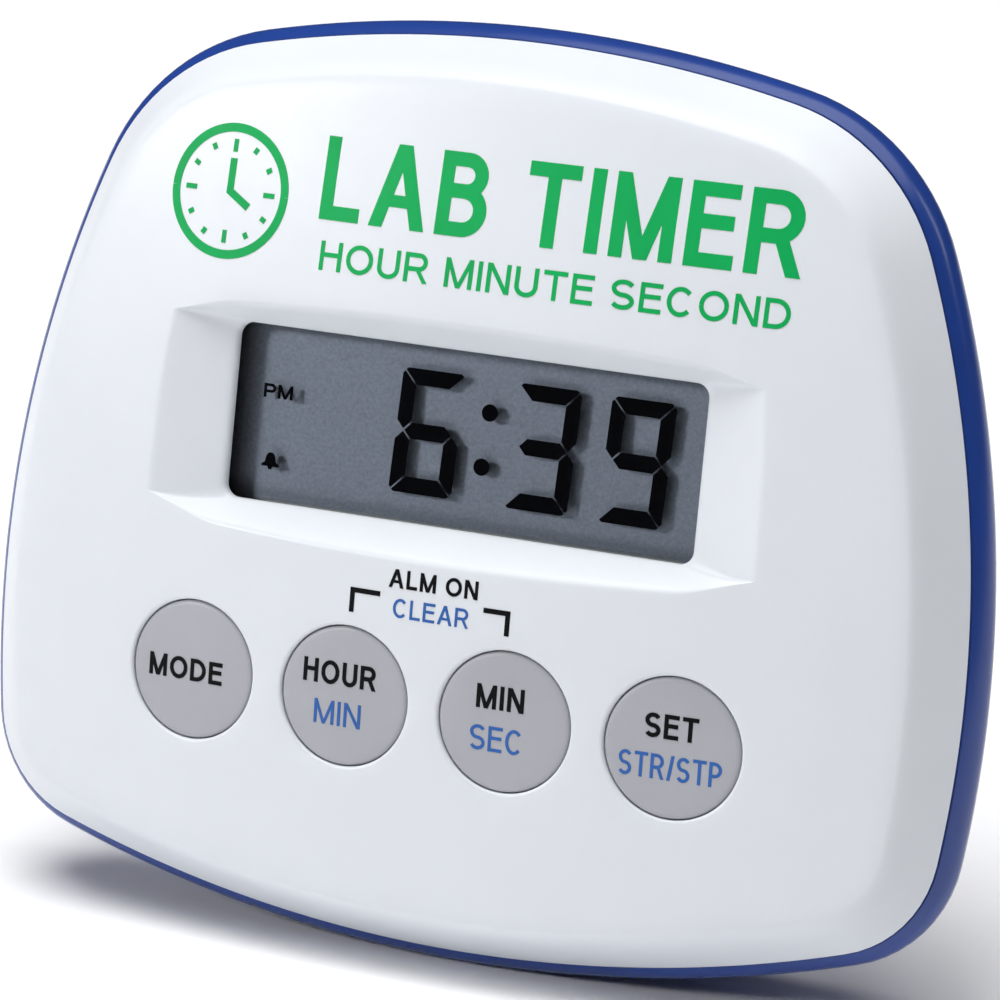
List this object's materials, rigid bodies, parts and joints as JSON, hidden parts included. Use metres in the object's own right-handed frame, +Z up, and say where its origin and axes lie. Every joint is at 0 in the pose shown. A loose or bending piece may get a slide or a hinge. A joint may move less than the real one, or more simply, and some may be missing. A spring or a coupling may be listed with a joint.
{
  "type": "lab timer",
  "caption": "Small countdown timer for the bench: crowned white face with recessed display and round push buttons, blue rear cover, magnets and a fold-out stand.",
  "frame": {"origin": "middle of the footprint, on the table that the timer stands on", "axes": "+Z up; the face looks towards -Y and leans back 13 degrees; +X is to the right of a person who reads the display"},
  "size_m": [0.076, 0.0366, 0.0642],
  "materials": {
    "white_shell": "satin white moulded ABS with a soft sheen",
    "blue_cover": "glossy royal blue moulded ABS",
    "grey_cap": "satin light grey moulded plastic",
    "silicone": "matt translucent silicone rubber",
    "carbon": "matt conductive carbon rubber",
    "lcd_glass": "clear polished glass with polariser film",
    "reflector": "matt grey reflective film",
    "black_foam": "matt black foam",
    "holder_plastic": "matt off-white moulded plastic",
    "zebra_rubber": "layered conductive rubber",
    "board": "green solder mask on glass-epoxy laminate",
    "epoxy": "black potting epoxy",
    "steel": "zinc plated steel",
    "nickel": "bright nickel plate",
    "brass": "rolled brass",
    "ceramic": "silvered piezo ceramic",
    "chip": "ceramic chip",
    "wire_red": "red insulation",
    "wire_black": "black insulation"
  },
  "bodies": {
    "case": {"front_shell": "white_shell", "rear_cover": "blue_cover", "stand_pin": "steel", "magnet_left": "nickel", "magnet_right": "nickel", "lcd_gasket": "black_foam", "lcd_front_glass": "lcd_glass", "lcd_rear_glass": "lcd_glass", "lcd_reflector": "reflector", "lcd_holder": "holder_plastic", "zebra_connector": "zebra_rubber", "circuit_board": "board", "processor_blob": "epoxy", "crystal_can": "nickel", "chip_capacitor": "chip", "chip_resistor": "epoxy", "keypad_mat": "silicone", "battery_cell": "nickel", "battery_contact_positive": "steel", "battery_contact_negative": "steel", "piezo_disc": "brass", "piezo_ceramic": "ceramic", "piezo_wire_red": "wire_red", "piezo_wire_black": "wire_black", "case_screw_top_right": "steel", "board_screw_top_right": "steel", "case_screw_top_left": "steel", "board_screw_top_left": "steel", "case_screw_bottom_right": "steel", "board_screw_bottom_right": "steel", "case_screw_bottom_left": "steel", "board_screw_bottom_left": "steel"},
    "mode_key": {"button_mode": "grey_cap", "key_boss_mode": "silicone", "contact_pill_mode": "carbon"},
    "hour_key": {"button_hour": "grey_cap", "key_boss_hour": "silicone", "contact_pill_hour": "carbon"},
    "minute_key": {"button_minute": "grey_cap", "key_boss_minute": "silicone", "contact_pill_minute": "carbon"},
    "set_key": {"button_set": "grey_cap", "key_boss_set": "silicone", "contact_pill_set": "carbon"},
    "battery_door": {"battery_door": "blue_cover"},
    "stand": {"stand": "blue_cover"}
  },
  "joints": [
    {"name": "press_mode", "type": "slide", "parent": "case", "child": "mode_key", "axis": [0, 0.9744, -0.225], "range_m": [0, 0.0008], "stiffness_N_per_m": 1800},
    {"name": "press_hour", "type": "slide", "parent": "case", "child": "hour_key", "axis": [0, 0.9744, -0.225], "range_m": [0, 0.0008], "stiffness_N_per_m": 1800},
    {"name": "press_minute", "type": "slide", "parent": "case", "child": "minute_key", "axis": [0, 0.9744, -0.225], "range_m": [0, 0.0008], "stiffness_N_per_m": 1800},
    {"name": "press_set", "type": "slide", "parent": "case", "child": "set_key", "axis": [0, 0.9744, -0.225], "range_m": [0, 0.0008], "stiffness_N_per_m": 1800},
    {"name": "stand_fold", "type": "hinge", "parent": "case", "child": "stand", "pos_m": [0, -0.00484, 0.00761], "axis": [1, 0, 0], "range_deg": [0, 94.6]},
    {"name": "door_turn", "type": "hinge", "parent": "case", "child": "battery_door", "pos_m": [0, 0.00509, 0.04483], "axis": [0, 0.9744, -0.225], "range_deg": [0, 45]}
  ]
}
